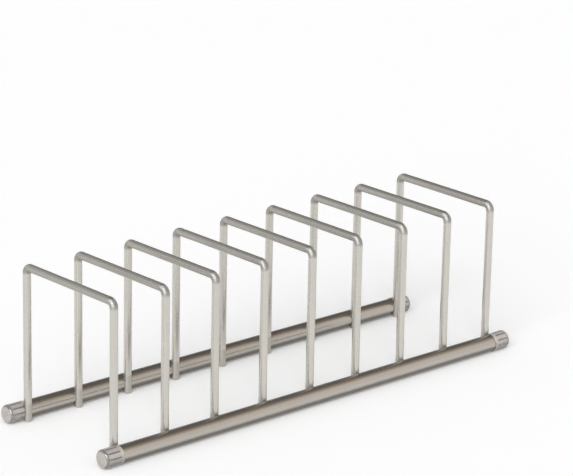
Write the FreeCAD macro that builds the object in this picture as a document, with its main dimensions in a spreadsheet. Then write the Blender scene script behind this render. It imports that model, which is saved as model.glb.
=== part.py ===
"""Bakeware organizer rack: two round rails, a row of bent wire dividers and four fluted end caps.

Lengths are millimetres and angles are degrees. +X runs along the rails, +Y from the front rail to the
back one and +Z up. The origin is the middle of the rack's footprint, on the surface it stands on.
"""
import FreeCAD, Part
import math
import os

import Sketcher

# Driving dimensions: name, value, what it measures
DRIVING = [
    ("divider_count", 9, "wire dividers in the row"),
    ("divider_pitch", 46.0, "one divider to the next"),
    ("divider_height", 120.0, "foot tip to the top of the divider's bar"),
    ("leg_spacing", 99.0, "axis to axis of a divider's two legs"),
    ("wire_diameter", 6.0, "wire of the dividers"),
    ("bend_radius", 4.6, "centre line of each top bend"),
    ("foot_chamfer", 0.5, "chamfer of the cut foot tips"),
    ("rail_diameter", 13.0, "outside of the rail tube"),
    ("rail_wall", 1.0, "wall of the rail tube"),
    ("leg_inset", 5.75, "rail axis to leg axis"),
    ("seat_clearance", 0.05, "round a leg in its seat, and round a rail's end in its cap"),
    ("end_overhang", 15.6, "end divider's axis to the cap's outer face"),
    ("cap_wall", 0.6, "sleeve of the cap outside the tube"),
    ("cap_end_wall", 2.0, "closed end of the cap"),
    ("cap_end_round", 2.2, "rounding of the cap's closed end"),
    ("cap_mouth_chamfer", 0.25, "chamfer of the cap's open edge"),
    ("cap_rim", 0.4, "plain band between the rounding and the flutes"),
    ("cap_collar", 2.8, "plain band at the cap's open edge"),
    ("cap_notch_clearance", 0.2, "between a leg and the notch in the cap"),
    ("cap_standing_flat", 0.05, "depth of the flat that the cap stands on"),
    ("flute_count", 10, "flutes round each cap"),
    ("flute_start_angle", 27.0, "first flute, up from level"),
    ("flute_radius", 1.1, "round bottom of a flute"),
    ("flute_depth", 0.3, "depth of a flute"),
]

# Worked-out dimensions: name, formula
DERIVED = [
    ("row_length", "=(divider_count - 1) * divider_pitch"),
    ("wire_radius", "=wire_diameter / 2"),
    ("bar_axis_height", "=divider_height - wire_radius"),
    ("rail_radius", "=rail_diameter / 2"),
    ("rail_bore_radius", "=rail_radius - rail_wall"),
    ("rail_length", "=row_length + 2 * (end_overhang - cap_end_wall - seat_clearance)"),
    ("rail_offset", "=leg_spacing / 2 + leg_inset"),
    ("seat_radius", "=wire_radius + seat_clearance"),
    ("cap_radius", "=rail_radius + cap_wall"),
    ("cap_bore_radius", "=rail_radius + seat_clearance"),
    ("cap_notch_radius", "=wire_radius + cap_notch_clearance"),
    ("rail_axis_height", "=cap_radius - cap_standing_flat"),
    ("foot_height", "=rail_axis_height - rail_radius"),
    ("flute_centre", "=cap_radius - flute_depth + flute_radius"),
    ("flute_length", "=end_overhang - cap_end_round - cap_rim - cap_collar"),
]

# Points of a sketch's edge, and the sketch's own origin and axes
START, END, CENTRE = range(1, 4)
UPRIGHT_AXIS, LEVEL_AXIS = range(-2, 0)
ORIGIN = (LEVEL_AXIS, START)

UP = FreeCAD.Vector(0, 0, 1)
HALF_TURN = FreeCAD.Rotation(UP, 180)

doc = FreeCAD.newDocument("bakeware_organizer_rack")


# The sheet of sizes

def make_sheet():
    """The spreadsheet of driving and worked-out dimensions."""
    cells = doc.addObject("Spreadsheet::Sheet", "sizes")
    rows = [(name, str(value), note) for name, value, note in DRIVING]
    rows += [(name, formula, "worked out") for name, formula in DERIVED]
    for number, (name, content, note) in enumerate(rows, start=1):
        cells.set(f"A{number}", name)
        cells.set(f"B{number}", content)
        cells.setAlias(f"B{number}", name)
        cells.set(f"C{number}", note)
        doc.recompute()
    return cells


sheet = make_sheet()


def size(name):
    """The present value of one cell."""
    return float(sheet.get(name))


def bind(item, prop, formula):
    """Ties a property to a formula in which {name} stands for a cell."""
    names = [row[0] for row in DRIVING + DERIVED]
    item.setExpression(prop, formula.format(**{name: f"sizes.{name}" for name in names}))


# Sketches

def point(across, up):
    """A point of a sketch."""
    return FreeCAD.Vector(across, up, 0)


def add_line(sketch, start, end, construction=False):
    """A straight edge of a sketch."""
    return sketch.addGeometry(Part.LineSegment(start, end), construction)


def add_circle(sketch, centre, radius):
    """A circle of a sketch."""
    return sketch.addGeometry(Part.Circle(centre, UP, radius), False)


def add_corner(sketch, centre, radius, start_angle):
    """A quarter turn of a sketch, counter-clockwise from an angle in degrees."""
    first = math.radians(start_angle)
    arc = Part.ArcOfCircle(Part.Circle(centre, UP, radius), first, first + math.pi / 2)
    return sketch.addGeometry(arc, False)


def constrain(sketch, *rules):
    """Adds rules without a dimension."""
    for rule in rules:
        sketch.addConstraint(Sketcher.Constraint(*rule))


def dimension(sketch, name, formula, *rule):
    """Adds a rule with a dimension, and ties it to the sheet."""
    index = sketch.addConstraint(Sketcher.Constraint(*rule))
    sketch.renameConstraint(index, name)
    bind(sketch, f"Constraints.{name}", formula)


def origin_feature(body, role):
    """The body's own origin plane or axis of that role."""
    return next(item for item in body.Origin.OriginFeatures if item.Role == role)


def add_sketch(body, name, plane):
    """A sketch on one of the body's origin planes."""
    sketch = body.newObject("Sketcher::SketchObject", f"{body.Name}_{name}")
    sketch.AttachmentSupport = [(origin_feature(body, plane), "")]
    sketch.MapMode = "FlatFace"
    return sketch


# Features

def add_body(name):
    """An empty body that carries the sub-part's name."""
    body = doc.addObject("PartDesign::Body", name)
    body.Label = name
    return body


def add_feature(body, kind, name, **values):
    """A feature of a body, with its plain properties set."""
    feature = body.newObject(f"PartDesign::{kind}", f"{body.Name}_{name}")
    for prop, value in values.items():
        setattr(feature, prop, value)
    return feature


def add_through_cut(body, name, sketch):
    """Cuts a sketch's outline right through the body, both ways."""
    before = body.Shape.Volume
    cut = add_feature(body, "Pocket", name, Profile=sketch, SideType="Two sides",
                      Type="ThroughAll", Type2="ThroughAll")
    doc.recompute()
    if not body.Shape.Volume < before:
        raise RuntimeError(f"{cut.Name} removes nothing")
    return cut


def place(body, along, across, up, turned=False):
    """Ties the body's place to the sheet, turned half round or not."""
    if turned:
        body.Placement = FreeCAD.Placement(FreeCAD.Vector(), HALF_TURN)
    for axis, formula in zip("xyz", (along, across, up)):
        bind(body, f"Placement.Base.{axis}", formula)


# Dividers

def draw_divider_line(body):
    """The wire's centre line: leg, bend, bar, bend and leg, from foot tip to foot tip."""
    side = size("leg_spacing") / 2
    top = size("bar_axis_height")
    radius = size("bend_radius")
    sketch = add_sketch(body, "line", "YZ_Plane")
    front_leg = add_line(sketch, point(-side, 0), point(-side, top - radius))
    front_bend = add_corner(sketch, point(-side + radius, top - radius), radius, 90)
    bar = add_line(sketch, point(-side + radius, top), point(side - radius, top))
    back_bend = add_corner(sketch, point(side - radius, top - radius), radius, 0)
    back_leg = add_line(sketch, point(side, top - radius), point(side, 0))
    constrain(
        sketch,
        ("Vertical", front_leg), ("Horizontal", bar), ("Vertical", back_leg),
        ("Tangent", front_leg, END, front_bend, END), ("Tangent", front_bend, START, bar, START),
        ("Tangent", bar, END, back_bend, END), ("Tangent", back_bend, START, back_leg, START),
        ("Equal", front_bend, back_bend), ("PointOnObject", front_leg, START, LEVEL_AXIS),
        ("Symmetric", front_leg, START, back_leg, END, UPRIGHT_AXIS),
    )
    dimension(sketch, "spacing", "{leg_spacing}", "DistanceX", front_leg, START, back_leg, END, 2 * side)
    dimension(sketch, "bend", "{bend_radius}", "Radius", front_bend, radius)
    dimension(sketch, "top", "{bar_axis_height}", "DistanceY", *ORIGIN, bar, START, top)
    return sketch


def draw_wire_section(body):
    """The round section of the wire, at the front foot tip."""
    side = size("leg_spacing") / 2
    sketch = add_sketch(body, "section", "XY_Plane")
    wire = add_circle(sketch, point(0, -side), size("wire_radius"))
    constrain(sketch, ("PointOnObject", wire, CENTRE, UPRIGHT_AXIS))
    dimension(sketch, "side", "{leg_spacing} / 2", "DistanceY", wire, CENTRE, *ORIGIN, side)
    dimension(sketch, "wire", "{wire_radius}", "Radius", wire, size("wire_radius"))
    return sketch


def foot_edges(shape):
    """The names of the round edges at the two foot tips."""
    return [f"Edge{number}" for number, edge in enumerate(shape.Edges, start=1)
            if edge.isClosed() and edge.BoundBox.ZMax < size("foot_chamfer")]


def make_divider(number):
    """One divider: a wire bent to an upside-down U, standing in the seats of both rails."""
    body = add_body(f"divider_{number}")
    wire = add_feature(body, "AdditivePipe", "wire", Profile=draw_wire_section(body),
                       Spine=draw_divider_line(body))
    doc.recompute()
    tips = add_feature(body, "Chamfer", "tips", Base=(wire, foot_edges(wire.Shape)))
    bind(tips, "Size", "{foot_chamfer}")
    place(body, f"{number - 1} * {{divider_pitch}} - {{row_length}} / 2", "0", "{foot_height}")
    return body


# Rails

def make_rail(name, side):
    """One rail: a round tube whose inner side has a seat for every leg.

    The front rail, side -1, is drawn with its seats towards +Y. The back one is turned half round.
    """
    body = add_body(name)
    ring = add_sketch(body, "ring", "YZ_Plane")
    outside = add_circle(ring, point(0, 0), size("rail_radius"))
    bore = add_circle(ring, point(0, 0), size("rail_bore_radius"))
    constrain(ring, ("Coincident", outside, CENTRE, *ORIGIN), ("Coincident", bore, CENTRE, *ORIGIN))
    dimension(ring, "outside", "{rail_radius}", "Radius", outside, size("rail_radius"))
    dimension(ring, "bore", "{rail_bore_radius}", "Radius", bore, size("rail_bore_radius"))
    tube = add_feature(body, "Pad", "tube", Profile=ring, SideType="Symmetric")
    bind(tube, "Length", "{rail_length}")
    doc.recompute()

    seat = add_sketch(body, "seat", "XY_Plane")
    start = size("row_length") / 2
    inset = size("leg_inset")
    leg = add_circle(seat, point(-start, inset), size("seat_radius"))
    dimension(seat, "start", "{row_length} / 2", "DistanceX", leg, CENTRE, *ORIGIN, start)
    dimension(seat, "inset", "{leg_inset}", "DistanceY", *ORIGIN, leg, CENTRE, inset)
    dimension(seat, "leg", "{seat_radius}", "Radius", leg, size("seat_radius"))
    cut = add_through_cut(body, "seat_cut", seat)
    seats = add_feature(body, "LinearPattern", "seats", Originals=[cut],
                        Direction=(origin_feature(body, "X_Axis"), [""]))
    bind(seats, "Length", "{row_length}")
    bind(seats, "Occurrences", "{divider_count}")
    body.Tip = seats
    place(body, "0", f"{side} * {{rail_offset}}", "{rail_axis_height}", turned=side > 0)
    return body


# End caps

def draw_cap_profile(body):
    """Half of the cap's lengthwise section: a sleeve with a rounded closed end at the left."""
    face = -size("end_overhang")
    floor = face + size("cap_end_wall")
    radius = size("cap_radius")
    bore = size("cap_bore_radius")
    end_round = size("cap_end_round")
    chamfer = size("cap_mouth_chamfer")
    sketch = add_sketch(body, "profile", "XZ_Plane")
    end_face = add_line(sketch, point(face, 0), point(face, radius - end_round))
    shoulder = add_corner(sketch, point(face + end_round, radius - end_round), end_round, 90)
    sleeve = add_line(sketch, point(face + end_round, radius), point(-chamfer, radius))
    lip = add_line(sketch, point(-chamfer, radius), point(0, radius - chamfer))
    mouth = add_line(sketch, point(0, radius - chamfer), point(0, bore))
    inside = add_line(sketch, point(0, bore), point(floor, bore))
    inner_face = add_line(sketch, point(floor, bore), point(floor, 0))
    axis = add_line(sketch, point(floor, 0), point(face, 0))
    constrain(
        sketch,
        ("Vertical", end_face), ("Horizontal", sleeve), ("Vertical", mouth),
        ("Horizontal", inside), ("Vertical", inner_face),
        ("Tangent", end_face, END, shoulder, END), ("Tangent", shoulder, START, sleeve, START),
        ("Coincident", sleeve, END, lip, START), ("Coincident", lip, END, mouth, START),
        ("Coincident", mouth, END, inside, START), ("Coincident", inside, END, inner_face, START),
        ("Coincident", inner_face, END, axis, START), ("Coincident", axis, END, end_face, START),
        ("PointOnObject", axis, START, LEVEL_AXIS), ("PointOnObject", axis, END, LEVEL_AXIS),
        ("PointOnObject", mouth, END, UPRIGHT_AXIS),
    )
    dimension(sketch, "overhang", "{end_overhang}", "DistanceX", end_face, START, *ORIGIN, -face)
    dimension(sketch, "end_wall", "{cap_end_wall}", "DistanceX", end_face, START, axis, START, floor - face)
    dimension(sketch, "outside", "{cap_radius}", "DistanceY", *ORIGIN, sleeve, START, radius)
    dimension(sketch, "bore", "{cap_bore_radius}", "DistanceY", *ORIGIN, inside, START, bore)
    dimension(sketch, "end_round", "{cap_end_round}", "Radius", shoulder, end_round)
    dimension(sketch, "lip_length", "{cap_mouth_chamfer}", "DistanceX", lip, START, lip, END, chamfer)
    dimension(sketch, "lip_depth", "{cap_mouth_chamfer}", "DistanceY", lip, END, lip, START, chamfer)
    return sketch


def add_flutes(body):
    """The shallow flutes round the sleeve, between its plain rim and its plain collar."""
    reach = size("flute_centre")
    angle = math.radians(size("flute_start_angle"))
    sketch = add_sketch(body, "flute", "YZ_Plane")
    bind(sketch, "AttachmentOffset.Base.z", "-{cap_collar}")
    middle = point(reach * math.cos(angle), reach * math.sin(angle))
    spoke = add_line(sketch, point(0, 0), middle, construction=True)
    flute = add_circle(sketch, middle, size("flute_radius"))
    constrain(sketch, ("Coincident", spoke, START, *ORIGIN), ("Coincident", flute, CENTRE, spoke, END))
    dimension(sketch, "reach", "{flute_centre}", "Distance", spoke, reach)
    dimension(sketch, "angle", "{flute_start_angle} * 1 deg", "Angle", spoke, angle)
    dimension(sketch, "flute", "{flute_radius}", "Radius", flute, size("flute_radius"))
    before = body.Shape.Volume
    cut = add_feature(body, "Pocket", "flute_cut", Profile=sketch)
    bind(cut, "Length", "{flute_length}")
    doc.recompute()
    if not body.Shape.Volume < before:
        raise RuntimeError(f"{cut.Name} removes nothing")
    flutes = add_feature(body, "PolarPattern", "flutes", Originals=[cut], Angle=360,
                         Axis=(origin_feature(body, "X_Axis"), [""]))
    bind(flutes, "Occurrences", "{flute_count}")
    body.Tip = flutes
    doc.recompute()


def add_notch(body, inner):
    """The half-round notch in the collar, where the end divider's leg stands."""
    inset = size("leg_inset")
    sketch = add_sketch(body, "notch", "XY_Plane")
    leg = add_circle(sketch, point(0, inner * inset), size("cap_notch_radius"))
    constrain(sketch, ("PointOnObject", leg, CENTRE, UPRIGHT_AXIS))
    ends = (*ORIGIN, leg, CENTRE) if inner > 0 else (leg, CENTRE, *ORIGIN)
    dimension(sketch, "inset", "{leg_inset}", "DistanceY", *ends, inset)
    dimension(sketch, "leg", "{cap_notch_radius}", "Radius", leg, size("cap_notch_radius"))
    add_through_cut(body, "notch_cut", sketch)


def add_standing_flat(body):
    """The narrow flat under the sleeve that the rack stands on."""
    half = size("cap_radius")
    top = -size("rail_axis_height")
    bottom = top - half
    sketch = add_sketch(body, "flat", "YZ_Plane")
    corners = [point(-half, top), point(-half, bottom), point(half, bottom), point(half, top)]
    left, under, right, flat = [add_line(sketch, corners[i], corners[(i + 1) % 4]) for i in range(4)]
    constrain(
        sketch,
        ("Coincident", left, END, under, START), ("Coincident", under, END, right, START),
        ("Coincident", right, END, flat, START), ("Coincident", flat, END, left, START),
        ("Vertical", left), ("Vertical", right), ("Horizontal", under),
        ("Symmetric", flat, START, flat, END, UPRIGHT_AXIS),
    )
    dimension(sketch, "width", "2 * {cap_radius}", "DistanceX", under, START, under, END, 2 * half)
    dimension(sketch, "depth", "{cap_radius}", "DistanceY", right, START, right, END, half)
    dimension(sketch, "level", "{rail_axis_height}", "DistanceY", flat, START, *ORIGIN, -top)
    add_through_cut(body, "flat_cut", sketch)


def make_cap(name, side, end):
    """One end cap: a closed sleeve over a rail's end, notched for the end divider's leg.

    It is drawn for the left end, with its mouth in the end divider's plane, and a right-hand one is
    turned half round. side is -1 at the front rail and 1 at the back, end -1 at the left and 1 at
    the right.
    """
    body = add_body(name)
    sleeve = add_feature(body, "Revolution", "sleeve", Profile=draw_cap_profile(body), Angle=360,
                         ReferenceAxis=(origin_feature(body, "X_Axis"), [""]))
    body.Tip = sleeve
    doc.recompute()
    add_flutes(body)
    add_notch(body, inner=side * end)
    add_standing_flat(body)
    place(body, f"{end} * {{row_length}} / 2", f"{side} * {{rail_offset}}", "{rail_axis_height}",
          turned=end > 0)
    return body


# The rack

parts = [make_rail("rail_front", -1), make_rail("rail_back", 1)]
parts += [make_divider(number) for number in range(1, round(size("divider_count")) + 1)]
for side_name, side_sign in (("front", -1), ("back", 1)):
    for end_name, end_sign in (("left", -1), ("right", 1)):
        parts.append(make_cap(f"cap_{side_name}_{end_name}", side_sign, end_sign))
doc.recompute()

for item in doc.Objects:
    if "Invalid" in item.State or "Error" in item.State:
        raise RuntimeError(f"{item.Name} failed: {item.State}")
for part in parts:
    if part.Shape.isNull() or not part.Shape.isValid() or len(part.Shape.Solids) != 1:
        raise RuntimeError(f"{part.Label} isn't one valid solid")

os.makedirs("parts", exist_ok=True)
for part in parts:
    part.Shape.exportStep(f"parts/{part.Label}.step")
    box = part.Shape.BoundBox
    print(f"{part.Label}: {part.Shape.Volume:.1f} mm3, x {box.XMin:.2f} to {box.XMax:.2f}, "
          f"y {box.YMin:.2f} to {box.YMax:.2f}, z {box.ZMin:.2f} to {box.ZMax:.2f}")
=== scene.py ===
"""Dresses the bakeware organizer rack in satin nickel and clear plastic, on a pale studio floor.

Lengths are metres in the rack's own frame: +X along the rails, +Y to the back and +Z up.
"""
import logging
import math
from dataclasses import dataclass, field
from enum import Enum
from typing import Iterable

import bpy
from mathutils import Matrix, Vector


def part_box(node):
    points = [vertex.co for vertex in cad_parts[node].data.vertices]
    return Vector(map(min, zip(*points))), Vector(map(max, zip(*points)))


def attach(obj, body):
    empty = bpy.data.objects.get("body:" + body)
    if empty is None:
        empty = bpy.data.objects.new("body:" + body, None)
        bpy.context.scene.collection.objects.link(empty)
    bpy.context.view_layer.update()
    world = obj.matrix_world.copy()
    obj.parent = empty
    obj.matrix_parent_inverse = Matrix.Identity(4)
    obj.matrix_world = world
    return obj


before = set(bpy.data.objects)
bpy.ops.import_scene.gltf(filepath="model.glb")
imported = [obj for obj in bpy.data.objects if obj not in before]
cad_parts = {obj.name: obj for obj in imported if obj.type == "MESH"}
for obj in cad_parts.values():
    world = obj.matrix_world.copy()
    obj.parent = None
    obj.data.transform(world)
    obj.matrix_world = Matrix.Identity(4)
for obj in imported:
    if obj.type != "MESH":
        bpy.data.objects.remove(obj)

LOG = logging.getLogger("rack")
MM = 0.001
ROOT = "root"

Colour = tuple[float, float, float]
Cover = tuple[float, float, float, float]
Direction = tuple[float, float, float]
Box = tuple[Vector, Vector]
Socket = bpy.types.NodeSocket

BLACK: Cover = (0.0, 0.0, 0.0, 1.0)
WHITE: Cover = (1.0, 1.0, 1.0, 1.0)
VECTOR = "NodeSocketVector"
NUMBER = "NodeSocketFloat"


class Slot(Enum):
    """The record's material slots."""

    RAIL = "rail_nickel"
    WIRE = "wire_nickel"
    CAP = "clear_cap"


class Grain(Enum):
    """Which way a finish's fine lines run, as line density along X, Y and Z, per metre."""

    ROUND_THE_RAIL = (2600.0, 260.0, 260.0)
    UP_THE_LEG = (2400.0, 2400.0, 60.0)
    ALONG_THE_BAR = (2400.0, 60.0, 2400.0)


class Mixing(Enum):
    """What a Mix node mixes: its data type, its first and second input and its output."""

    NUMBERS = ("FLOAT", 2, 3, 0)
    COLOURS = ("RGBA", 6, 7, 2)


@dataclass(frozen=True)
class Ramp:
    """An eased change from start, where a value is low, to end, where it is high."""

    low: float
    high: float
    start: float = 0.0
    end: float = 1.0


# Sizes read from the frame


@dataclass
class RackSizes:
    """The sizes and places of the rack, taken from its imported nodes."""

    rails: dict[str, Box] = field(default_factory=dict)
    dividers: dict[str, Box] = field(default_factory=dict)
    caps: dict[str, Box] = field(default_factory=dict)

    def __post_init__(self) -> None:
        """Reads the box of every rail, divider and cap."""
        for name in sorted(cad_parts):
            if name.startswith("rail_"):
                self.rails[name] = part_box(name)
            elif name.startswith("divider_"):
                self.dividers[name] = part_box(name)
            elif name.startswith("cap_"):
                self.caps[name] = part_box(name)

    @property
    def rail_radius(self) -> float:
        """Half of a rail's height."""
        low, high = self.rails["rail_front"]
        return (high.z - low.z) / 2

    @property
    def rail_height(self) -> float:
        """The height of the rails' axes."""
        low, high = self.rails["rail_front"]
        return (high.z + low.z) / 2

    @property
    def rail_offset(self) -> float:
        """How far each rail's axis stands from the middle."""
        low, high = self.rails["rail_back"]
        return (high.y + low.y) / 2

    @property
    def wire_radius(self) -> float:
        """Half of the wire's thickness."""
        low, high = self.dividers["divider_1"]
        return (high.x - low.x) / 2

    @property
    def leg_offset(self) -> float:
        """How far each leg's axis stands from the middle."""
        return self.dividers["divider_1"][1].y - self.wire_radius

    @property
    def cap_radius(self) -> float:
        """How far a cap's top stands above its rail's axis."""
        return self.caps["cap_front_left"][1].z - self.rail_height

    @property
    def end(self) -> float:
        """How far the caps' closed ends stand from the middle."""
        return self.caps["cap_front_right"][1].x

    @property
    def top(self) -> float:
        """The height of the dividers' tops."""
        return self.dividers["divider_1"][1].z

    @property
    def stations(self) -> list[float]:
        """The place of each divider along the rails."""
        return sorted((low.x + high.x) / 2 for low, high in self.dividers.values())


# Shader nodes


class Graph:
    """Adds and joins the nodes of one material, world or group."""

    def __init__(self, tree: bpy.types.NodeTree) -> None:
        """Keeps the tree and empties it.

        Args:
            tree: the node tree to fill.
        """
        self.tree = tree
        tree.nodes.clear()

    def add(self, kind: str, **settings: object) -> bpy.types.Node:
        """Adds one node.

        Args:
            kind: the node's type, without its ShaderNode prefix.
            settings: plain properties to set on it.

        Returns:
            The new node.
        """
        prefix = "" if kind.startswith("Node") else "ShaderNode"
        node = self.tree.nodes.new(prefix + kind)
        for name, value in settings.items():
            setattr(node, name, value)
        return node

    def join(self, source: object, target: Socket) -> None:
        """Joins an output to an input, or sets the input to a plain value.

        Args:
            source: an output socket or a plain value.
            target: the input socket.
        """
        if isinstance(source, Socket):
            self.tree.links.new(source, target)
        else:
            target.default_value = source

    def fill(self, node: bpy.types.Node, **inputs: object) -> bpy.types.Node:
        """Sets or joins a node's inputs by name, with _ for a space.

        Args:
            node: the node to fill.
            inputs: a value or an output socket for each input.

        Returns:
            The same node.
        """
        for name, value in inputs.items():
            self.join(value, node.inputs[name.replace("_", " ")])
        return node

    def compute(self, operation: str, *values: object) -> Socket:
        """A Math node's result.

        Args:
            operation: the node's operation, such as MULTIPLY.
            values: a number or an output socket for each input.

        Returns:
            The node's output.
        """
        node = self.add("Math", operation=operation)
        for target, value in zip(node.inputs, values):
            self.join(value, target)
        return node.outputs[0]

    def weigh(self, base: object, *terms: tuple[Socket, float]) -> Socket:
        """A base value, with each mask times its weight added.

        Args:
            base: a number or an output socket.
            terms: pairs of a mask and its weight.

        Returns:
            The sum.
        """
        total = base
        for mask, weight in terms:
            total = self.compute("ADD", total, self.compute("MULTIPLY", mask, weight))
        return total

    def split(self, vector: Socket) -> tuple[Socket, Socket, Socket]:
        """A vector's X, Y and Z."""
        return tuple(self.fill(self.add("SeparateXYZ"), Vector=vector).outputs)

    def noise(self, place: Socket, scale: float, detail: float, roughness: float = 0.55) -> Socket:
        """A noise texture's value.

        Args:
            place: the coordinates to read.
            scale: blotches per metre, or per unit where the coordinates are scaled already.
            detail: how many finer layers it has.
            roughness: how strong those layers are.

        Returns:
            The texture's factor.
        """
        node = self.add("TexNoise")
        self.fill(node, Vector=place, Scale=scale, Detail=detail, Roughness=roughness)
        return node.outputs["Factor" if "Factor" in node.outputs else "Fac"]

    def spread(self, value: Socket, ramp: Ramp) -> Socket:
        """A value mapped by a ramp.

        Args:
            value: what to map.
            ramp: the ramp.

        Returns:
            The mapped value.
        """
        node = self.add("MapRange", interpolation_type="SMOOTHSTEP")
        self.fill(node, Value=value, From_Min=ramp.low, From_Max=ramp.high, To_Min=ramp.start,
                  To_Max=ramp.end)
        return node.outputs["Result"]

    def blend(self, amount: object, first: object, second: object,
              mixing: Mixing = Mixing.COLOURS) -> Socket:
        """A mix of two colours or numbers.

        Args:
            amount: how much of the second shows.
            first: the first colour or number.
            second: the second colour or number.
            mixing: which of the two they are.

        Returns:
            The mix.
        """
        kind, one, other, result = mixing.value
        node = self.add("Mix", data_type=kind)
        for index, value in ((0, amount), (one, first), (other, second)):
            self.join(value, node.inputs[index])
        return node.outputs[result]


class Effect:
    """A node group that several finishes share, built once."""

    title = "effect"
    inputs: tuple[tuple[str, str], ...] = ()
    outputs: tuple[tuple[str, str], ...] = ()

    def build(self, graph: Graph, given: bpy.types.Node, result: bpy.types.Node) -> None:
        """Fills the group.

        Args:
            graph: the group's nodes.
            given: its Group Input node.
            result: its Group Output node.
        """
        raise NotImplementedError

    def tree(self) -> bpy.types.NodeTree:
        """Finds the group's node tree, or makes it at its first use.

        Returns:
            The node tree.
        """
        known = bpy.data.node_groups.get(self.title)
        if known is not None:
            return known
        tree = bpy.data.node_groups.new(self.title, "ShaderNodeTree")
        for name, kind in self.inputs:
            tree.interface.new_socket(name=name, in_out="INPUT", socket_type=kind)
        for name, kind in self.outputs:
            tree.interface.new_socket(name=name, in_out="OUTPUT", socket_type=kind)
        graph = Graph(tree)
        self.build(graph, graph.add("NodeGroupInput"), graph.add("NodeGroupOutput"))
        return tree

    def place(self, graph: Graph, **inputs: object) -> bpy.types.Node:
        """Places the group in a material.

        Args:
            graph: the material's nodes.
            inputs: a value or an output socket for each of the group's inputs.

        Returns:
            The group's node.
        """
        node = graph.add("Group", node_tree=self.tree())
        return graph.fill(node, **inputs)


class FineLines(Effect):
    """Fine parallel lines that a polishing belt or a drawing die leaves."""

    title = "fine_lines"
    inputs = (("Place", VECTOR), ("Density", VECTOR))
    outputs = (("Lines", NUMBER),)
    fine_share = 0.65
    broad_share = 0.35

    def build(self, graph: Graph, given: bpy.types.Node, result: bpy.types.Node) -> None:
        """Stretches two layers of noise along the lines.

        Args:
            graph: the group's nodes.
            given: its Group Input node.
            result: its Group Output node.
        """
        stretch = graph.add("VectorMath", operation="MULTIPLY")
        graph.join(given.outputs["Place"], stretch.inputs[0])
        graph.join(given.outputs["Density"], stretch.inputs[1])
        stretched = stretch.outputs[0]
        fine = graph.noise(stretched, scale=1.0, detail=3.0, roughness=0.65)
        broad = graph.noise(stretched, scale=0.22, detail=2.0)
        mixed = graph.weigh(graph.compute("MULTIPLY", fine, self.fine_share),
                            (broad, self.broad_share))
        graph.join(mixed, result.inputs["Lines"])


class Handling(Effect):
    """Soft blotches in the plating and faint smudges from handling."""

    title = "handling"
    inputs = (("Place", VECTOR), ("Amount", NUMBER))
    outputs = (("Tone", NUMBER), ("Smudge", NUMBER))
    wide_share = 0.7
    small_share = 0.3
    smudged = Ramp(0.52, 0.72)

    def build(self, graph: Graph, given: bpy.types.Node, result: bpy.types.Node) -> None:
        """Mixes wide and small noise into a tone near 1, and other noise into a smudge from 0.

        Args:
            graph: the group's nodes.
            given: its Group Input node.
            result: its Group Output node.
        """
        place, amount = given.outputs["Place"], given.outputs["Amount"]
        wide = graph.noise(place, scale=28.0, detail=3.0)
        small = graph.noise(place, scale=420.0, detail=2.0)
        both = graph.weigh(graph.compute("MULTIPLY", wide, self.wide_share),
                           (small, self.small_share))
        swing = graph.compute("MULTIPLY", graph.compute("SUBTRACT", both, 0.5), amount)
        graph.join(graph.compute("ADD", swing, 1.0), result.inputs["Tone"])
        patches = graph.spread(graph.noise(place, scale=65.0, detail=4.0, roughness=0.7),
                               self.smudged)
        graph.join(graph.compute("MULTIPLY", patches, amount), result.inputs["Smudge"])


class UndersideShade(Effect):
    """Painted shade on a rail's, a bar's or a cap's underside, by how far below its axis a place
    is.
    """

    title = "underside"
    inputs = (("Place", VECTOR), ("Axis Height", NUMBER), ("Radius", NUMBER), ("Start", NUMBER),
              ("Width", NUMBER))
    outputs = (("Mask", NUMBER),)
    unevenness = 0.12
    across = Ramp(0.0, 1.0)
    past_the_tube = Ramp(1.05, 2.0, 1.0, 0.0)

    def build(self, graph: Graph, given: bpy.types.Node, result: bpy.types.Node) -> None:
        """Rises with a soft uneven edge from 0 to 1 on the underside, and ends below the tube.

        Args:
            graph: the group's nodes.
            given: its Group Input node.
            result: its Group Output node.
        """
        height = graph.split(given.outputs["Place"])[2]
        drop = graph.compute("SUBTRACT", given.outputs["Axis Height"], height)
        share = graph.compute("DIVIDE", drop, given.outputs["Radius"])
        blotches = graph.noise(given.outputs["Place"], scale=160.0, detail=3.0)
        uneven = graph.weigh(share, (blotches, self.unevenness))
        past = graph.compute("SUBTRACT", uneven, given.outputs["Start"])
        inner = graph.spread(graph.compute("DIVIDE", past, given.outputs["Width"]), self.across)
        under = graph.spread(share, self.past_the_tube)
        graph.join(graph.compute("MULTIPLY", inner, under), result.inputs["Mask"])


class Bends(Effect):
    """The duller plating on the stretched wire at the two bends of a divider."""

    title = "bends"
    inputs = (("Place", VECTOR), ("Top", NUMBER), ("Outer", NUMBER), ("Reach", NUMBER))
    outputs = (("Mask", NUMBER),)
    fade = Ramp(0.55, 1.25, 1.0, 0.0)

    def build(self, graph: Graph, given: bpy.types.Node, result: bpy.types.Node) -> None:
        """Fades from 1 at the outer corner to 0 where the leg and the bar begin.

        Args:
            graph: the group's nodes.
            given: its Group Input node.
            result: its Group Output node.
        """
        _, across, height = graph.split(given.outputs["Place"])
        down = graph.compute("SUBTRACT", given.outputs["Top"], height)
        inward = graph.compute("SUBTRACT", given.outputs["Outer"],
                               graph.compute("ABSOLUTE", across))
        masks = [graph.spread(graph.compute("DIVIDE", distance, given.outputs["Reach"]), self.fade)
                 for distance in (down, inward)]
        graph.join(graph.compute("MULTIPLY", *masks), result.inputs["Mask"])


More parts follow.
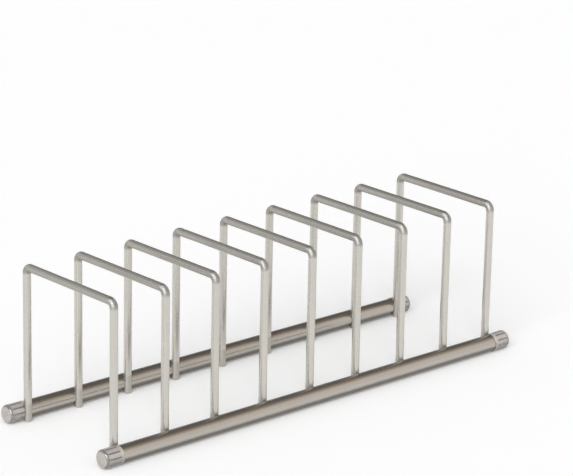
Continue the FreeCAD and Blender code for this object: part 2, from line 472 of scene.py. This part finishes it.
class WeldTintAndShade(Effect):
    """Duller, browner plating low on the rack: weld tint and painted shade where parts meet."""

    title = "weld_tint_and_shade"
    inputs = (("Place", VECTOR), ("Height", NUMBER), ("Fade", NUMBER))
    outputs = (("Mask", NUMBER),)
    edge = Ramp(0.3, 1.4, 1.0, 0.0)

    def build(self, graph: Graph, given: bpy.types.Node, result: bpy.types.Node) -> None:
        """Fades from 1 below the height to 0 above it, with a broken edge.

        Args:
            graph: the group's nodes.
            given: its Group Input node.
            result: its Group Output node.
        """
        height = graph.split(given.outputs["Place"])[2]
        rise = graph.compute("SUBTRACT", height, given.outputs["Height"])
        share = graph.compute("DIVIDE", rise, given.outputs["Fade"])
        flecks = graph.noise(given.outputs["Place"], scale=500.0, detail=2.0)
        broken = graph.compute("ADD", share, flecks)
        graph.join(graph.spread(broken, self.edge), result.inputs["Mask"])


class CapZones(Effect):
    """Where a cap's grooves, rounded edge, closed end and collar are, by its place on the rail."""

    title = "cap_zones"
    inputs = (("Place", VECTOR), ("Rail Offset", NUMBER), ("Rail Height", NUMBER),
              ("Radius", NUMBER), ("End", NUMBER))
    outputs = (("Groove", NUMBER), ("Edge", NUMBER), ("Face", NUMBER), ("Collar", NUMBER))
    groove_floor = Ramp(0.01 * MM, 0.13 * MM)
    groove_inner = Ramp(0.38 * MM, 0.48 * MM, 1.0, 0.0)
    groove_end = Ramp(2.1 * MM, 2.4 * MM)
    edge_near = Ramp(0.03 * MM, 0.30 * MM)
    edge_far = Ramp(1.7 * MM, 2.7 * MM, 1.0, 0.0)
    face = Ramp(0.1 * MM, 0.5 * MM, 1.0, 0.0)
    collar = Ramp(12.6 * MM, 13.2 * MM)

    def build(self, graph: Graph, given: bpy.types.Node, result: bpy.types.Node) -> None:
        """Finds each zone by the distance from the closed end and from the cap's outside.

        Args:
            graph: the group's nodes.
            given: its Group Input node.
            result: its Group Output node.
        """
        along, sideways, height = graph.split(given.outputs["Place"])
        across = graph.compute("SUBTRACT", graph.compute("ABSOLUTE", sideways),
                               given.outputs["Rail Offset"])
        upward = graph.compute("SUBTRACT", height, given.outputs["Rail Height"])
        square = graph.compute("ADD", graph.compute("MULTIPLY", across, across),
                               graph.compute("MULTIPLY", upward, upward))
        depth = graph.compute("SUBTRACT", given.outputs["Radius"], graph.compute("SQRT", square))
        reach = graph.compute("SUBTRACT", given.outputs["End"], graph.compute("ABSOLUTE", along))
        sunk = graph.compute("MULTIPLY", graph.spread(depth, self.groove_floor),
                             graph.spread(depth, self.groove_inner))
        groove = graph.compute("MULTIPLY", sunk, graph.spread(reach, self.groove_end))
        edge = graph.compute("MULTIPLY", graph.spread(reach, self.edge_near),
                             graph.spread(reach, self.edge_far))
        graph.join(groove, result.inputs["Groove"])
        graph.join(edge, result.inputs["Edge"])
        graph.join(graph.spread(reach, self.face), result.inputs["Face"])
        graph.join(graph.spread(reach, self.collar), result.inputs["Collar"])


# Finishes


def shade(colour: Colour, factor: float = 1.0) -> Cover:
    """A colour made lighter or darker, with full cover."""
    return (colour[0] * factor, colour[1] * factor, colour[2] * factor, 1.0)


def new_material(name: str) -> tuple[bpy.types.Material, Graph, bpy.types.Node]:
    """An empty material with a Principled shader.

    Args:
        name: the material's name.

    Returns:
        The material, its nodes and its shader.
    """
    material = bpy.data.materials.new(name)
    material.use_nodes = True
    graph = Graph(material.node_tree)
    shader = graph.add("BsdfPrincipled")
    output = graph.add("OutputMaterial")
    graph.join(shader.outputs["BSDF"], output.inputs["Surface"])
    return material, graph, shader


@dataclass(frozen=True)
class UnderShade:
    """The painted shade on one finish's underside: start and width are shares of the radius."""

    axis_height: float
    radius: float
    start: float
    width: float
    darkness: float

    def mask(self, graph: Graph, place: Socket) -> Socket:
        """How much painted shade darkens the colour.

        Args:
            graph: the material's nodes.
            place: the surface's coordinates.

        Returns:
            The mask, from 0 to the darkness.
        """
        found = UndersideShade().place(graph, Place=place, Axis_Height=self.axis_height,
                                  Radius=self.radius, Start=self.start, Width=self.width)
        return graph.compute("MULTIPLY", found.outputs["Mask"], self.darkness)


@dataclass(frozen=True)
class Corner:
    """The outer corner of the dividers' bends and how far their duller plating reaches from it."""

    top: float
    outer: float
    reach: float = 7.6 * MM
    roughness: float = 0.26

    def mask(self, graph: Graph, place: Socket) -> Socket:
        """Where the bends are.

        Args:
            graph: the material's nodes.
            place: the surface's coordinates.

        Returns:
            The mask, from 0 to 1.
        """
        found = Bends().place(graph, Place=place, Top=self.top, Outer=self.outer,
                              Reach=self.reach)
        return found.outputs["Mask"]


@dataclass(frozen=True)
class SatinNickel:
    """Satin nickel plating on steel, with fine lines, smudges, duller places and painted shade.

    Smudged and lined say how light the colour stays there, a share says how much of it shows,
    and each roughness but the first is what its place adds.
    """

    name: str
    colour: Colour
    roughness: float
    grains: tuple[Grain, ...]
    line_depth: float
    weld_height: float
    turn_height: float = 0.0
    underneath: UnderShade | None = None
    corner: Corner | None = None
    handled: float = 0.16
    smudged: float = 0.86
    smudge_roughness: float = 0.5
    lined: float = 0.72
    line_share: float = 0.10
    line_roughness: float = 0.10
    line_strength: float = 0.35
    line_turn: float = 3 * MM
    weld_tint_shade_colour: Cover = (0.20, 0.165, 0.13, 1.0)
    weld_tint_shade_share: float = 0.25
    weld_roughness: float = 0.18
    weld_fade: float = 3 * MM

    def lines(self, graph: Graph, place: Socket) -> Socket:
        """The finish's fine lines, which turn where the wire turns from leg to bar.

        Args:
            graph: the material's nodes.
            place: the surface's coordinates.

        Returns:
            The lines' height, from 0 to 1.
        """
        found = [FineLines().place(graph, Place=place, Density=grain.value).outputs["Lines"]
                 for grain in self.grains]
        if len(found) == 1:
            return found[0]
        turn = Ramp(self.turn_height - self.line_turn, self.turn_height)
        upper = graph.spread(graph.split(place)[2], turn)
        return graph.blend(upper, *found, mixing=Mixing.NUMBERS)

    def material(self) -> bpy.types.Material:
        """Builds the material.

        Returns:
            The material.
        """
        material, graph, shader = new_material(self.name)
        place = graph.add("TexCoord").outputs["Object"]
        lines = self.lines(graph, place)
        handling = Handling().place(graph, Place=place, Amount=self.handled)
        smudge = handling.outputs["Smudge"]
        weld = WeldTintAndShade().place(graph, Place=place, Height=self.weld_height,
                                Fade=self.weld_fade).outputs["Mask"]
        colour = graph.blend(smudge, shade(self.colour), shade(self.colour, self.smudged))
        colour = graph.blend(graph.compute("MULTIPLY", lines, self.line_share), colour,
                             shade(self.colour, self.lined))
        # Weld tint and painted shade: the colour turns dark brown low on the rack.
        colour = graph.blend(graph.compute("MULTIPLY", weld, self.weld_tint_shade_share), colour,
                             self.weld_tint_shade_colour)
        rough = graph.weigh(self.roughness, (smudge, self.smudge_roughness),
                            (weld, self.weld_roughness), (lines, self.line_roughness))
        # Painted shade: the underside is darkened towards black.
        if self.underneath is not None:
            colour = graph.blend(self.underneath.mask(graph, place), colour, BLACK)
        if self.corner is not None:
            rough = graph.weigh(rough, (self.corner.mask(graph, place), self.corner.roughness))
        toned = graph.add("VectorMath", operation="SCALE")
        graph.join(colour, toned.inputs[0])
        graph.join(handling.outputs["Tone"], toned.inputs["Scale"])
        bump = graph.add("Bump")
        graph.fill(bump, Strength=self.line_strength, Distance=self.line_depth, Height=lines)
        graph.fill(shader, Base_Color=toned.outputs[0], Roughness=rough, Metallic=1.0,
                   Normal=bump.outputs["Normal"])
        return material


@dataclass(frozen=True)
class ClearPlastic:
    """Soft clear plastic that lets the tube show through, milky at its thick closed end.

    Milk, clouds, smudged and each painted shade say how light the colour is there, and each cover
    but the first and the last is what its zone adds to how little shows through.
    """

    name: str
    sleeve: Colour
    face: Colour
    roughness: float
    rail_offset: float
    rail_height: float
    radius: float
    end: float
    underneath: UnderShade
    handled: float = 0.3
    smudged: float = 0.8
    smudge_roughness: float = 0.4
    milk: tuple[float, float] = (0.94, 1.06)
    clouds: tuple[float, float] = (0.86, 1.10)
    cloud_edge: Ramp = Ramp(0.35, 0.65)
    painted_edge_shade: float = 0.16
    edge_share: float = 0.9
    painted_groove_shade: float = 0.22
    cover: float = 0.42
    face_cover: float = 0.22
    edge_cover: float = 0.50
    groove_cover: float = 0.40
    collar_cover: float = 0.06
    most_cover: float = 0.96

    def tint(self, graph: Graph, place: Socket, zones: bpy.types.Node, milky: Socket) -> Socket:
        """The plastic's colour, from zone to zone, with painted shade at the edge, in grooves and
        below.

        Args:
            graph: the material's nodes.
            place: the surface's coordinates.
            zones: the cap's zones.
            milky: the noise that makes it milky.

        Returns:
            The colour.
        """
        face, edge = zones.outputs["Face"], zones.outputs["Edge"]
        streaked = graph.blend(milky, *(shade(self.sleeve, factor) for factor in self.milk))
        uneven = graph.spread(graph.noise(place, scale=420.0, detail=2.0, roughness=0.6),
                              self.cloud_edge)
        clouded = graph.blend(uneven, *(shade(self.face, factor) for factor in self.clouds))
        colour = graph.blend(face, streaked, clouded)
        # Painted shade: the rounded edge round the closed end is darkened to a dark ring.
        colour = graph.blend(graph.compute("MULTIPLY", edge, self.edge_share), colour,
                             shade(self.sleeve, self.painted_edge_shade))
        # Painted shade: the grooves are darkened.
        colour = graph.blend(zones.outputs["Groove"], colour,
                             shade(self.sleeve, self.painted_groove_shade))
        # Painted shade: the sleeve's underside is darkened towards black.
        wall = graph.compute("SUBTRACT", 1.0, face)
        dimmed = graph.compute("MULTIPLY", self.underneath.mask(graph, place), wall)
        return graph.blend(dimmed, colour, BLACK)

    def material(self) -> bpy.types.Material:
        """Builds the material.

        Returns:
            The material.
        """
        material, graph, shader = new_material(self.name)
        place = graph.add("TexCoord").outputs["Object"]
        smudge = Handling().place(graph, Place=place, Amount=self.handled).outputs["Smudge"]
        zones = CapZones().place(graph, Place=place, Rail_Offset=self.rail_offset,
                                 Rail_Height=self.rail_height, Radius=self.radius, End=self.end)
        milky = graph.noise(place, scale=260.0, detail=3.0, roughness=0.6)
        colour = self.tint(graph, place, zones, milky)
        smudged = graph.blend(smudge, colour, shade(self.sleeve, self.smudged))
        cover = graph.weigh(self.cover, (zones.outputs["Face"], self.face_cover),
                            (zones.outputs["Edge"], self.edge_cover),
                            (zones.outputs["Groove"], self.groove_cover),
                            (zones.outputs["Collar"], self.collar_cover))
        bump = graph.add("Bump")
        graph.fill(bump, Strength=0.15, Distance=0.05 * MM, Height=milky)
        graph.fill(shader, Base_Color=smudged, Normal=bump.outputs["Normal"],
                   Alpha=graph.compute("MINIMUM", cover, self.most_cover),
                   Roughness=graph.weigh(self.roughness, (smudge, self.smudge_roughness)))
        graph.fill(shader, IOR=1.52, Coat_Weight=1.0, Coat_Roughness=0.04, Coat_IOR=1.8)
        return material


# Weld seams


@dataclass
class WeldSeams:
    """The thin seams that close the legs' seats, one closed loop round each leg at each rail."""

    sizes: RackSizes
    bead: float = 0.32 * MM
    steps: int = 24
    corners: int = 2

    def loop(self, station: float, side: int) -> list[Vector]:
        """The line where a leg's round side leaves the rail's, over the top and back underneath.

        Args:
            station: the divider's place along the rails.
            side: -1 at the front rail and 1 at the back.

        Returns:
            The points of the closed loop.
        """
        rail = self.sizes.rail_radius
        leg = self.sizes.wire_radius
        inset = self.sizes.rail_offset - self.sizes.leg_offset
        lift = math.asin((rail - inset) / leg)
        points = []
        for sign in (1, -1):
            for step in range(self.steps):
                turn = math.pi - lift + (math.pi + 2 * lift) * step / self.steps
                turn = turn if sign > 0 else 3 * math.pi - turn
                across = inset + leg * math.sin(turn)
                height = math.sqrt(max(rail * rail - across * across, 0.0))
                points.append(Vector((
                    station + leg * math.cos(turn),
                    side * (self.sizes.rail_offset - across),
                    self.sizes.rail_height + sign * height,
                )))
        return points

    def mesh(self, name: str, side: int) -> bpy.types.Mesh:
        """Runs a thin round bead along the loops of one rail.

        Args:
            name: the mesh's name.
            side: -1 at the front rail and 1 at the back.

        Returns:
            The mesh.
        """
        curve = bpy.data.curves.new(name + "_line", "CURVE")
        curve.dimensions = "3D"
        curve.bevel_depth = self.bead
        curve.bevel_resolution = self.corners
        for station in self.sizes.stations:
            points = self.loop(station, side)
            spline = curve.splines.new("POLY")
            spline.points.add(len(points) - 1)
            for point, place in zip(spline.points, points):
                point.co = (*place, 1.0)
            spline.use_cyclic_u = True
        carrier = bpy.data.objects.new(name + "_line", curve)
        bpy.context.scene.collection.objects.link(carrier)
        bpy.context.view_layer.update()
        shown = carrier.evaluated_get(bpy.context.evaluated_depsgraph_get())
        mesh = bpy.data.meshes.new_from_object(shown)
        bpy.data.objects.remove(carrier)
        mesh.name = name
        mesh.shade_smooth()
        return mesh

    def build(self, name: str, side: int, material: bpy.types.Material) -> bpy.types.Object:
        """Makes all the seams of one rail as one piece.

        Args:
            name: the piece's name.
            side: -1 at the front rail and 1 at the back.
            material: the finish.

        Returns:
            The piece.
        """
        mesh = self.mesh(name, side)
        mesh.materials.clear()
        mesh.materials.append(material)
        piece = bpy.data.objects.new(name, mesh)
        bpy.context.scene.collection.objects.link(piece)
        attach(piece, ROOT)
        LOG.info("%s: %d seams", name, len(self.sizes.stations))
        return piece


# The rack's own nodes


@dataclass
class Rack:
    """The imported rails, dividers and caps, and the finishes that they get."""

    sizes: RackSizes

    def rail_finish(self) -> bpy.types.Material:
        """Builds the rails' finish, brushed round the tube, with painted shade underneath.

        Returns:
            The material.
        """
        return SatinNickel(
            name="satin_nickel_tube",
            colour=(0.515, 0.478, 0.43),
            roughness=0.18,
            grains=(Grain.ROUND_THE_RAIL,),
            line_depth=0.02 * MM,
            # The weld tint's painted shade also darkens the rails' bottom, next to the floor.
            weld_height=0.0,
            # Painted shade: the rails' underside is darkened towards black.
            underneath=UnderShade(self.sizes.rail_height, self.sizes.rail_radius,
                                  start=0.06, width=0.40, darkness=0.66),
        ).material()

    def wire_finish(self) -> bpy.types.Material:
        """Builds the dividers' finish, drawn along the wire, duller at its bends and with painted
        shade.

        Returns:
            The material.
        """
        sizes = self.sizes
        return SatinNickel(
            name="satin_nickel_wire",
            colour=(0.630, 0.605, 0.556),
            roughness=0.22,
            grains=(Grain.UP_THE_LEG, Grain.ALONG_THE_BAR),
            line_depth=0.012 * MM,
            # Below this height a weld tint with painted shade darkens the legs' feet.
            weld_height=sizes.rail_height + sizes.rail_radius,
            turn_height=sizes.top - 2 * sizes.wire_radius,
            # Painted shade: the bars' underside is darkened towards black.
            underneath=UnderShade(sizes.top - sizes.wire_radius, sizes.wire_radius,
                                  start=-0.55, width=0.80, darkness=0.38),
            corner=Corner(top=sizes.top, outer=sizes.leg_offset + sizes.wire_radius),
        ).material()

    def cap_finish(self) -> bpy.types.Material:
        """Builds the caps' finish, clear on the tube, milky at the closed end, with painted shade.

        Returns:
            The material.
        """
        sizes = self.sizes
        return ClearPlastic(
            name="clear_soft_plastic",
            sleeve=(0.78, 0.735, 0.69),
            face=(0.60, 0.55, 0.50),
            roughness=0.08,
            rail_offset=sizes.rail_offset,
            rail_height=sizes.rail_height,
            radius=sizes.cap_radius,
            end=sizes.end,
            # Painted shade: the caps' underside is darkened towards black.
            underneath=UnderShade(sizes.rail_height, sizes.cap_radius,
                                  start=-0.75, width=1.10, darkness=0.36),
        ).material()

    def weld_finish(self) -> bpy.types.Material:
        """Builds the rougher, darker finish of the weld seams.

        Returns:
            The material.
        """
        return SatinNickel(
            name="dull_weld",
            colour=(0.36, 0.335, 0.30),
            roughness=0.58,
            grains=(Grain.UP_THE_LEG,),
            line_depth=0.03 * MM,
            # Below this height the weld tint and painted shade darken the seams' lower half.
            weld_height=self.sizes.rail_height,
        ).material()

    def dress(self) -> None:
        """Gives every node its finish."""
        finishes = {Slot.RAIL: self.rail_finish(), Slot.WIRE: self.wire_finish(),
                    Slot.CAP: self.cap_finish()}
        prefixes = {"rail_": Slot.RAIL, "divider_": Slot.WIRE, "cap_": Slot.CAP}
        for name, node in sorted(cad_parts.items()):
            slot = next(slot for prefix, slot in prefixes.items() if name.startswith(prefix))
            if not node.material_slots:
                node.data.materials.append(finishes[slot])
            for index in range(len(node.material_slots)):
                node.material_slots[index].material = finishes[slot]
            LOG.info("%s: %s", name, slot.value)


# The studio


@dataclass(frozen=True)
class Surround:
    """A white surround, which metal mirrors dimmer overhead and behind, with one bright window.

    Each level is what a mirror image shows of one direction, where 1 is white. It falls towards
    overhead, which lean draws to the back at the right, then a little along the back, and beyond
    the far right corner. Aside keeps the left white, and warm tints the upper right. The window
    shows in first mirror images only, so that it lights the caps' edges and the bends, not the
    joints.
    """

    ambient: float = 0.54
    lean: Ramp = Ramp(0.48, 0.62, 0.0, 0.36)
    overhead: Ramp = Ramp(0.33, 0.95, 0.90, 0.145)
    back: Ramp = Ramp(0.40, 0.68)
    back_left: Ramp = Ramp(-0.45, 0.05, 0.30, 0.02)
    back_right: Ramp = Ramp(0.50, 0.62, 0.0, 0.05)
    beyond: Ramp = Ramp(0.75, 1.15, 1.0, 0.42)
    aside: Ramp = Ramp(-0.85, -0.60, 1.0, 0.0)
    warm_side: Ramp = Ramp(0.2, 0.6)
    warm_height: Ramp = Ramp(0.3, 0.7)
    warm: Cover = (1.06, 0.94, 0.84, 1.0)
    window_toward: Direction = (-0.77, -0.36, 0.50)
    window_edge: Ramp = Ramp(0.885, 0.945)
    window_level: float = 4.6
    window_depth: float = 2.5
    window_cool: Cover = (0.95, 1.0, 1.06, 1.0)

    def mirrored(self, graph: Graph, place: tuple[Socket, Socket, Socket]) -> Socket:
        """The level that a mirror image shows of each direction, without the window.

        Args:
            graph: the world's nodes.
            place: the direction's X, Y and Z.

        Returns:
            The level.
        """
        along, across, height = place
        lean = graph.compute("MULTIPLY", across, graph.spread(along, self.lean))
        overhead = graph.spread(graph.compute("ADD", height, lean), self.overhead)
        dim = graph.compute("ADD", graph.spread(along, self.back_left),
                            graph.spread(along, self.back_right))
        dimmed = graph.compute("MULTIPLY", graph.spread(across, self.back), dim)
        behind = graph.compute("SUBTRACT", 1.0, dimmed)
        beyond = graph.spread(graph.compute("ADD", along, across), self.beyond)
        level = graph.compute("MULTIPLY", graph.compute("MULTIPLY", overhead, behind), beyond)
        return graph.compute("MAXIMUM", level, graph.spread(along, self.aside))

    def window(self, graph: Graph, seen: Socket, depth: Socket) -> Socket:
        """Where the window shows.

        Args:
            graph: the world's nodes.
            seen: the direction.
            depth: how many times the ray has turned.

        Returns:
            The mask, from 0 to 1.
        """
        toward = graph.add("VectorMath", operation="DOT_PRODUCT")
        graph.join(seen, toward.inputs[0])
        graph.join(Vector(self.window_toward).normalized(), toward.inputs[1])
        return graph.compute("MULTIPLY", graph.spread(toward.outputs["Value"], self.window_edge),
                             graph.compute("LESS_THAN", depth, self.window_depth))

    def build(self) -> None:
        """Builds the world: white to the camera, the levels to mirror images, plain to the rest."""
        world = bpy.data.worlds.new("studio")
        bpy.context.scene.world = world
        world.use_nodes = True
        graph = Graph(world.node_tree)
        path = graph.add("LightPath").outputs
        seen = graph.add("TexCoord").outputs["Generated"]
        place = graph.split(seen)
        window = self.window(graph, seen, path["Ray Depth"])
        level = graph.weigh(self.mirrored(graph, place), (window, self.window_level))
        shown = graph.compute("MAXIMUM", path["Is Glossy Ray"], path["Is Transmission Ray"])
        direct = graph.compute("ADD", graph.compute("MULTIPLY", shown, level),
                               path["Is Camera Ray"])
        plain = graph.compute("SUBTRACT", 1.0, graph.compute("ADD", shown, path["Is Camera Ray"]))
        warmth = graph.compute("MULTIPLY", graph.spread(place[0], self.warm_side),
                               graph.spread(place[2], self.warm_height))
        tint = graph.blend(graph.compute("MULTIPLY", warmth, shown), WHITE, self.warm)
        tint = graph.blend(graph.compute("MULTIPLY", window, shown), tint, self.window_cool)
        background = graph.add("Background")
        graph.fill(background, Color=tint, Strength=graph.weigh(direct, (plain, self.ambient)))
        output = graph.add("OutputWorld")
        graph.join(background.outputs["Background"], output.inputs["Surface"])


@dataclass
class Studio:
    """A pale floor, soft light and the photograph's camera.

    Angles are degrees, and the lens and the sensor are millimetres.
    """

    floor_half: float = 9.0
    floor_colour: Colour = (0.93, 0.93, 0.93)
    floor_grain: tuple[float, float] = (0.995, 1.005)
    floor_lift: float = 0.138
    key_toward: Direction = (-0.72, -0.50, 0.52)
    key_strength: float = 2.40
    key_spread: float = 45.0
    aim: Vector = field(default_factory=lambda: Vector((-0.06485, -0.09258, 0.15105)))
    distance: float = 2.0208
    azimuth: float = 42.155
    elevation: float = 17.700
    roll: float = 1.207
    lens: float = 182.07
    sensor: float = 36.0

    def floor_finish(self) -> bpy.types.Material:
        """Builds the floor's finish, a little lifted to the white of the background.

        Returns:
            The material.
        """
        material, graph, shader = new_material("pale_floor")
        grain = graph.noise(graph.add("TexCoord").outputs["Object"], scale=90.0, detail=3.0)
        colour = graph.blend(grain, *(shade(self.floor_colour, factor)
                                      for factor in self.floor_grain))
        path = graph.add("LightPath").outputs
        seen = graph.compute("MAXIMUM", path["Is Camera Ray"], path["Is Transmission Ray"])
        seen = graph.compute("MAXIMUM", seen, path["Is Glossy Ray"])
        graph.fill(shader, Base_Color=colour, Roughness=0.75, Specular_IOR_Level=0.2,
                   Emission_Color=WHITE,
                   Emission_Strength=graph.compute("MULTIPLY", seen, self.floor_lift))
        return material

    def floor(self) -> None:
        """Lays the floor just under the rack."""
        mesh = bpy.data.meshes.new("floor")
        half = self.floor_half
        corners = [(-half, -half, 0), (half, -half, 0), (half, half, 0), (-half, half, 0)]
        mesh.from_pydata(corners, [], [(0, 1, 2, 3)])
        mesh.materials.append(self.floor_finish())
        floor = bpy.data.objects.new("floor", mesh)
        bpy.context.scene.collection.objects.link(floor)

    def key_light(self) -> None:
        """Hangs a wide soft sun at the left, which mirror images don't show."""
        light = bpy.data.lights.new("key_light", "SUN")
        light.energy = self.key_strength
        light.angle = math.radians(self.key_spread)
        holder = bpy.data.objects.new("key_light", light)
        holder.rotation_mode = "QUATERNION"
        holder.rotation_quaternion = Vector(self.key_toward).to_track_quat("Z", "Y")
        holder.visible_glossy = False
        bpy.context.scene.collection.objects.link(holder)

    def camera(self) -> None:
        """Puts the camera where the photograph was taken from."""
        turn = math.radians(self.azimuth)
        lift = math.radians(self.elevation)
        lean = math.radians(self.roll)
        back = Vector((-math.sin(turn) * math.cos(lift), -math.cos(turn) * math.cos(lift),
                       math.sin(lift)))
        level = Vector((math.cos(turn), -math.sin(turn), 0.0))
        upward = back.cross(level)
        right = level * math.cos(lean) + upward * math.sin(lean)
        above = upward * math.cos(lean) - level * math.sin(lean)
        data = bpy.data.cameras.new("camera")
        data.sensor_width = self.sensor
        data.lens = self.lens
        holder = bpy.data.objects.new("camera", data)
        turned = Matrix((right, above, back)).transposed().to_4x4()
        holder.matrix_world = Matrix.Translation(self.aim + back * self.distance) @ turned
        bpy.context.scene.collection.objects.link(holder)
        bpy.context.scene.camera = holder

    def build(self) -> None:
        """Builds the whole studio."""
        self.floor()
        Surround().build()
        self.key_light()
        self.camera()
        bpy.context.scene.view_settings.view_transform = "Standard"


def main() -> None:
    """Dresses the rack and builds the studio."""
    logging.basicConfig(level=logging.INFO, format="%(name)s: %(message)s")
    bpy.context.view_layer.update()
    sizes = RackSizes()
    rack = Rack(sizes)
    rack.dress()
    dull = rack.weld_finish()
    seams = WeldSeams(sizes)
    seams.build("weld_seams_front", -1, dull)
    seams.build("weld_seams_back", 1, dull)
    Studio().build()


if __name__ == "__main__":
    main()
